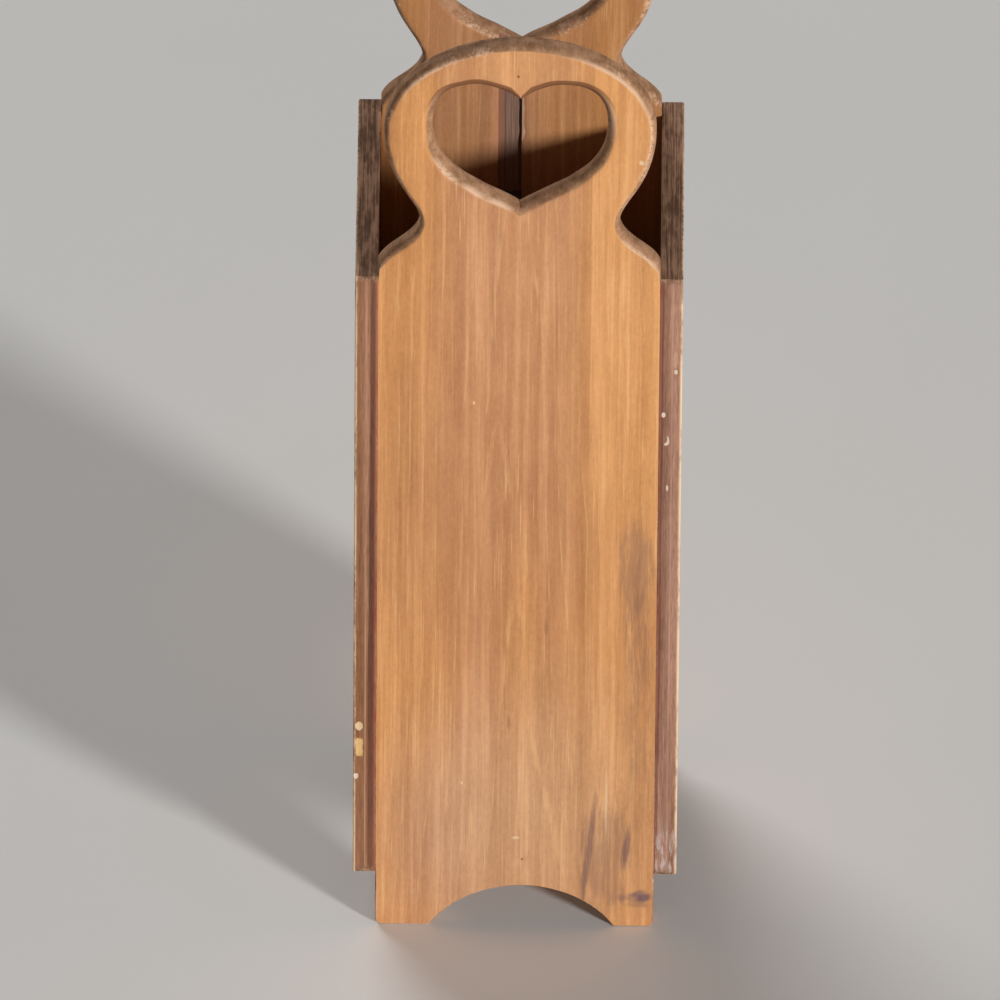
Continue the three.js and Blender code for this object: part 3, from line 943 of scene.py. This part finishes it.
def floor_wood():
    s = Shader("floor_wood", "floor_wood")
    fibre = s.noise((90, 1.4, 1.4), 3, 0.6, 41)
    band = s.noise((260, 9, 20), 2, 0.5, 43)
    colour = s.mix(s.step(band, 0.3, 0.7), FLOOR_BROWN, FLOOR_TAN)
    colour = s.mix(s.step(fibre, 0.4, 0.8, 0, 0.45), colour, FLOOR_FIBRE)
    dust = s.noise((30, 30, 30), 4, 0.65, 46)
    colour = s.mix(s.step(dust, 0.45, 0.75, 0, 0.4), colour, FLOOR_DUST)
    colour = s.mix(s.times(s.tag("cut"), 0.4), colour, FLOOR_CUT)
    rough = s.step(dust, 0.2, 0.8, 0.6, 0.85)
    return s.finish(colour, rough, s.add(fibre, s.times(dust, 0.4)), strength=0.4, distance=0.3)


def nail_steel():
    s = Shader("nail_steel", "nail_steel")
    rust = s.noise((1.2, 1.2, 1.2), 4, 0.65, 51)
    scratch = s.noise((0.25, 0.25, 0.25), 2, 0.6, 53)
    spread = s.step(rust, 0.42, 0.62)
    colour = s.mix(spread, STEEL_GREY, RUST)
    rough = s.step(rust, 0.3, 0.7, 0.35, 0.8)
    s.put(s.surface.inputs["Metallic"], s.step(rust, 0.42, 0.62, 0.95, 0.25))
    return s.finish(colour, rough, s.add(scratch, rust), strength=0.3, distance=0.08)


# Broad drifts of colour, marks, and rubbed places and painted highlights on the panels, placed in (x, z)
# millimetres
Mark = namedtuple("Mark", "centre size colour strength tilt soft streaky", defaults=(0, 0.5, None))
WearAndHighlight = namedtuple("WearAndHighlight", "centre size strength")
FRONT_PATCHES = [
    Mark((-6, 470), (104, 300), PINK_TAN, 0.75),
    Mark((-20, 345), (260, 250), MID_BROWN, 0.6),
    Mark((4, 245), (28, 170), GOLD, 0.8),
    Mark((-48, 85), (84, 170), PINK_GREY, 0.8),
    Mark((26, 100), (120, 210), PALE_TAN, 0.75),
    Mark((0, 768), (130, 60), BRIGHT_GOLD, 0.4),
    Mark((85, 520), (70, 330), BRIGHT_GOLD, 0.75),
]
FRONT_MARKS = [
    Mark((-1.7, 756.5), (2.0, 2.2), PIN_HOLE, 0.75),
    Mark((85, 682), (3, 4), BARE, 0.9),
    Mark((-31, 469), (1.6, 2.6), BARE, 0.7),
    Mark((-37.6, 128.7), (1.6, 2.6), BARE, 0.7),
    Mark((0.8, 79.5), (4.6, 2.6), BARE, 0.75),
    Mark((5, 60), (1.6, 2), PIN_HOLE, 0.7),
    Mark((84, 322), (22, 80), STAIN_GREY, 0.5, streaky=(0.24, 0.56)),
    Mark((87, 262), (18, 90), STAIN_GREY, 0.45, streaky=(0.36, 0.6)),
    Mark((88, 170), (20, 150), STAIN_GREY, 0.35, streaky=(0.42, 0.62)),
    Mark((53, 72), (4.4, 112), STAIN_PURPLE, 0.62, tilt=0.1, streaky=(0.2, 0.5)),
    Mark((65, 60), (32, 92), STAIN_PURPLE, 0.4, tilt=0.06, soft=0.35, streaky=(0.2, 0.56)),
    Mark((79, 70), (5, 34), STAIN_PURPLE, 0.7, tilt=0.12, streaky=(0.22, 0.5)),
    Mark((21, 120), (4, 130), PALE_GRAIN, 0.4, tilt=-0.19, streaky=(0.36, 0.6)),
    Mark((-20, 416), (4, 60), PALE_GRAIN, 0.26, tilt=0.14, streaky=(0.3, 0.6)),
    Mark((-8, 416), (4, 60), PALE_GRAIN, 0.26, tilt=-0.14, streaky=(0.3, 0.6)),
    Mark((21, 269), (2.6, 13), FLECK, 0.5),
    Mark((-5, 184), (2.4, 12), FLECK, 0.5),
    Mark((92, 26), (9, 8), STAIN_BLUE, 0.75, tilt=0.4),
    Mark((88, 30), (9, 6), STAIN_BLUE, 0.5, tilt=0.8),
    Mark((83, 26), (20, 7), STAIN_BLUE, 0.4, streaky=(0.2, 0.5)),
    Mark((88, 20), (14, 5), STAIN_GREY, 0.45, streaky=(0.2, 0.5)),
    Mark((64.6, 112), (2, 54), BARE, 0.45),
]
# Rubbed places and painted highlights. Those on the head's right shoulder and cheek and on the right shoulder
# are painted highlights where the light falls. Those along the heart's lower left are rubbed wear and partly
# painted highlight.
FRONT_WEAR_AND_HIGHLIGHTS = [
    WearAndHighlight((68, 750), (64, 66), 0.42),
    WearAndHighlight((93, 700), (14, 70), 0.26),
    WearAndHighlight((-58, 752), (50, 40), 0.28),
    WearAndHighlight((-52, 672), (18, 34), 0.3),
    WearAndHighlight((-32, 655), (18, 16), 0.42),
    WearAndHighlight((-14, 645), (20, 14), 0.45),
    WearAndHighlight((84, 598), (44, 34), 0.3),
    WearAndHighlight((-38, 28.6), (8, 8), 0.4),
    WearAndHighlight((-25.6, 33), (8, 8), 0.4),
    WearAndHighlight((-80, 2), (44, 12), 0.25),
    WearAndHighlight((-98, 12), (8, 30), 0.4),
]
BACK_WEAR = [
    WearAndHighlight((-24, 654), (50, 26), 0.2),
    WearAndHighlight((0, 645), (20, 14), 0.3),
]

# Dings in the front panel's face: place, radius and depth
FILLED_NAIL = (0, 79, 1.7, 0.3)
DINGS = [
    (-31, 469, 1.2, 0.3),
    (-37.6, 128.7, 1.2, 0.35),
    (85, 682, 1.6, 0.4),
    (5, 60, 0.9, 0.7),
    FILLED_NAIL,
]


def face_relief(dings, seed, sink):
    """Sinks a face a little and unevenly, and more at the dings."""
    def relief(u, v):
        depth = sink * (1 + SINK_SHARE * wear_noise(u, v, seed, SINK_LENGTH))
        for ding_u, ding_v, radius, ding_depth in dings:
            depth += ding_depth * smooth(radius * DING_SPREAD, 0, math.hypot(u - ding_u, v - ding_v))
        return depth
    return relief


def ding_points(dings):
    points = []
    for u, v, radius, _ in dings:
        points.append((u, v))
        for ring in (DING_SPREAD / 2, DING_SPREAD):
            points += [p[:] for p in circle((u, v), radius * ring, DING_POINTS)]
    return points


def groove_cutter(place, thickness, centre_u, tear_side, seed):
    """A solid that cuts the divider's groove, with the wood torn out along one arris in its upper part."""
    low, high = in_mm("divider")
    half = (high.x - low.x) / 2 + GROOVE_CLEARANCE
    clean_u = centre_u - tear_side * half
    torn_u = centre_u + tear_side * half
    top_z = HEART_TIP_Z + GROOVE_RUNOUT
    count = round((top_z - low.z) / TEAR_STEP)
    cutter = bmesh.new()
    sections = []
    for i in range(count + 1):
        v = lerp(low.z, top_z, i / count)
        ragged = max(0.1, 0.6 + 0.9 * wear_noise(0, v, seed, 13) + 0.3 * wear_noise(5, v, seed, 5))
        torn = smooth(TEAR_LOW_Z, TEAR_LOW_Z + TEAR_FADE, v) * TEAR_WIDTH * ragged
        outline = [
            (clean_u - tear_side * GROOVE_CHAMFER, thickness + CUTTER_PAST),
            (clean_u, thickness - CHAMFER_DEPTH),
            (clean_u, thickness - GROOVE_DEPTH),
            (torn_u, thickness - GROOVE_DEPTH),
            (torn_u, thickness - CHAMFER_DEPTH - TEAR_SLOPE * torn),
            (torn_u + tear_side * (GROOVE_CHAMFER + torn), thickness + CUTTER_PAST),
        ]
        sections.append([cutter.verts.new(place(u, v, w) * MM) for u, w in outline])
    for one, other in zip(sections, sections[1:]):
        for i in range(len(one)):
            j = (i + 1) % len(one)
            cutter.faces.new((one[i], one[j], other[j], other[i]))
    cutter.faces.new(sections[0])
    cutter.faces.new(sections[-1])
    bmesh.ops.recalc_face_normals(cutter, faces=cutter.faces)
    data = bpy.data.meshes.new("groove_cutter")
    cutter.to_mesh(data)
    cutter.free()
    return add_object("groove_cutter", data)


def cut(piece, cutter):
    """Takes the cutter's solid out of the piece and removes the cutter."""
    change = piece.modifiers.new("cut", "BOOLEAN")
    change.operation = "DIFFERENCE"
    change.solver = "EXACT"
    change.object = cutter
    graph = bpy.context.evaluated_depsgraph_get()
    whole = piece.data
    piece.data = bpy.data.meshes.new_from_object(piece.evaluated_get(graph))
    piece.data.name = whole.name + "_cut"
    piece.modifiers.clear()
    bpy.data.meshes.remove(whole)
    cutter_mesh = cutter.data
    bpy.data.objects.remove(cutter)
    bpy.data.meshes.remove(cutter_mesh)


def make_panel(name, node, place, right, seed, material, dings=(), nail_hole=False):
    """An end panel. right is 1 where u runs along +X, and -1 where it runs against it."""
    low, high = in_mm(node)
    half = (high.x - low.x) / 2
    side_low, side_high = in_mm("left_side")

    def outer_round(u, v):
        """Tight along the joints with the side boards, full on the head."""
        at_joint = abs(abs(u) - half) < 0.1 and side_low.z < v < side_high.z
        base = JOINT_ROUND if at_joint else BOARD_ROUND
        return lerp(base, HEAD_ROUND, smooth(SHOULDER_Z - 4, SHOULDER_Z + 8, v))

    def heart_round(u, v):
        """Tighter towards the notch, whose sides would otherwise run into each other."""
        base = lerp(HEART_ROUND_LOW, HEART_ROUND_HIGH, smooth(HEART_TIP_Z + 30, HEART_LOBE_Z - 10, v))
        return min(base, NOTCH_ROUND + NOTCH_ROUND_GROWTH * math.hypot(u, v - HEART_NOTCH_Z))

    board = Board(high.y - low.y, place, seed)
    outline = panel_outline(half, right * ARCH_SHIFT)
    board.edge(outline, outer_round, outer_round, PANEL_WALL_STEPS, lambda u, v: 1)
    board.edge(heart_outline(), heart_round, heart_round, PANEL_WALL_STEPS, lambda u, v: 1)
    if nail_hole:
        nail = in_mm("back_floor_nail")
        board.nail_hole((0, (nail[0].z + nail[1].z) / 2))
    board.fill(board.outside, 0, face_relief(dings, seed, PANEL_SINK), ding_points(dings))
    board.fill(board.inside, board.thickness, face_relief([], seed + 4, PANEL_INSIDE_SINK))
    piece = board.finish(name, node, material)
    cut(piece, groove_cutter(place, board.thickness, right * DIVIDER_X, right, seed))
    soften(piece.data)


def make_plank(name, node, thickness_axis, outward, seed, material, nails=(), chips=(), rounds=BOARD_ROUND,
               inside_rounds=JOINT_ROUND):
    """A plain board. thickness_axis is the axis across it, outward the sign of its outside face there."""
    low, high = in_mm(node)
    u_axis, v_axis = [axis for axis in range(3) if axis != thickness_axis]
    outside_w = (high if outward > 0 else low)[thickness_axis]

    def place(u, v, w):
        point = Vector((0, 0, 0))
        point[u_axis] = u
        point[v_axis] = v
        point[thickness_axis] = outside_w - outward * w
        return point

    thickness = high[thickness_axis] - low[thickness_axis]

    def dents(u, v, w):
        """Chips lie on the edge where u is lowest, which is the front."""
        dent = 0
        for chip in chips:
            if u > low[u_axis] + 1:
                break
            chip_w = thickness - chip.across
            near = math.hypot((v - chip.z) / chip.long, (w - chip_w) / chip.wide) * 2
            dent = max(dent, smooth(1.2, 0.8, near) * chip.deep)
        return dent

    def end_grain(u, v):
        return 1 if min(abs(v - low[v_axis]), abs(v - high[v_axis])) < 0.6 else 0

    board = Board(thickness, place, seed)
    outline = rectangle((low[u_axis], low[v_axis]), (high[u_axis], high[v_axis]), [chip.z for chip in chips])
    board.edge(outline, lambda u, v: rounds, lambda u, v: inside_rounds, PLANK_WALL_STEPS, end_grain, dents)
    for nail in nails:
        nail_low, nail_high = in_mm(nail)
        middle = (nail_low + nail_high) / 2
        board.nail_hole((middle[u_axis], middle[v_axis]))
    relief = face_relief([], seed, PLANK_SINK)
    board.fill(board.outside, 0, relief)
    board.fill(board.inside, board.thickness, relief)
    board.finish(name, node, material)


def nails_of(side):
    corner_numbers = range(1, NAILS_PER_CORNER + 1)
    names = [f"{side}_{end}_nail_{i}" for end in ("front", "back") for i in corner_numbers]
    return names + [f"{side}_floor_nail_{end}" for end in ("front", "back")]


def on_front(u, v, w):
    return Vector((u, PANEL_FRONT_Y + w, v))


def on_back(u, v, w):
    return Vector((-u, PANEL_BACK_Y - w, v))


front_wood = panel_wood("front_panel_wood", -1, 2.0, FRONT_PATCHES, FRONT_MARKS, FRONT_WEAR_AND_HIGHLIGHTS)
back_wood = panel_wood("back_panel_wood", 1, 14.0, wear_and_highlights=BACK_WEAR)
left_wood = side_wood("left_side_wood", -1, 61.0, dark_zone=5.5, light_line=7.6, chips=LEFT_CHIPS)
right_wood = side_wood("right_side_wood", 1, 71.0, dark_zone=2.4, light_line=9.0, chips=RIGHT_CHIPS)
make_panel("front_board", "front_panel", on_front, right=1, seed=1.5, material=front_wood, dings=DINGS)
make_panel("back_board", "back_panel", on_back, right=-1, seed=8.5, material=back_wood, nail_hole=True)
make_plank("left_board", "left_side", X_AXIS, -1, seed=20.5, material=left_wood, nails=nails_of("left"),
           chips=LEFT_CHIPS)
make_plank("right_board", "right_side", X_AXIS, 1, seed=30.5, material=right_wood, nails=nails_of("right"),
           chips=RIGHT_CHIPS)
make_plank("divider_board", "divider", X_AXIS, 1, seed=40.5, material=divider_wood(), rounds=DIVIDER_ROUND,
           inside_rounds=DIVIDER_ROUND)
make_plank("bottom_board", "floor_board", Z_AXIS, 1, seed=50.5, material=floor_wood())

steel = nail_steel()
for node_name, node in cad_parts.items():
    if "nail" in node_name:
        node.data.materials.clear()
        node.data.materials.append(steel.material)


def make_studio():
    """Pale floor, a soft key light from the right, one from behind and a weak glow from all round."""
    size = STUDIO_FLOOR_HALF
    mesh = bpy.data.meshes.new("studio_floor")
    corners = [(-size, -size, 0), (size, -size, 0), (size, size, 0), (-size, size, 0)]
    mesh.from_pydata(corners, [], [(0, 1, 2, 3)])
    floor = add_object("studio_floor", mesh)
    s = Shader("studio_floor", None)
    tone = s.noise((400, 400, 400), 3, 0.5, 91)
    grain = s.noise((3, 3, 3), 2, 0.5, 93)
    colour = s.mix(tone, STUDIO_DULL, STUDIO_PALE)
    s.finish(colour, s.step(tone, 0, 1, 0.75, 0.85), grain, strength=0.1, distance=0.2)
    mesh.materials.append(s.material)

    world = bpy.data.worlds.new("studio")
    world.use_nodes = True
    nodes = world.node_tree.nodes
    links = world.node_tree.links
    background = nodes["Background"]
    background.inputs["Color"].default_value = SKY
    height = nodes.new("ShaderNodeSeparateXYZ")
    links.new(nodes.new("ShaderNodeTexCoord").outputs["Generated"], height.inputs[0])
    fade = nodes.new("ShaderNodeMapRange")
    fade.interpolation_type = "SMOOTHSTEP"
    links.new(height.outputs["Z"], fade.inputs["Value"])
    fade.inputs["From Min"].default_value = 0.0
    fade.inputs["From Max"].default_value = ZENITH_START
    fade.inputs["To Min"].default_value = HORIZON_LIGHT
    fade.inputs["To Max"].default_value = ZENITH_LIGHT
    links.new(fade.outputs[0], background.inputs["Strength"])
    bpy.context.scene.world = world

    for sun in SUNS:
        data = bpy.data.lights.new(sun["name"], "SUN")
        data.energy = sun["power"]
        data.angle = math.radians(sun["spread"])
        light = add_object(sun["name"], data)
        way = Vector(sun["way"])
        light.location = way * LIGHT_DISTANCE
        light.rotation_mode = "QUATERNION"
        light.rotation_quaternion = (-way).to_track_quat("-Z", "Y")


make_studio()
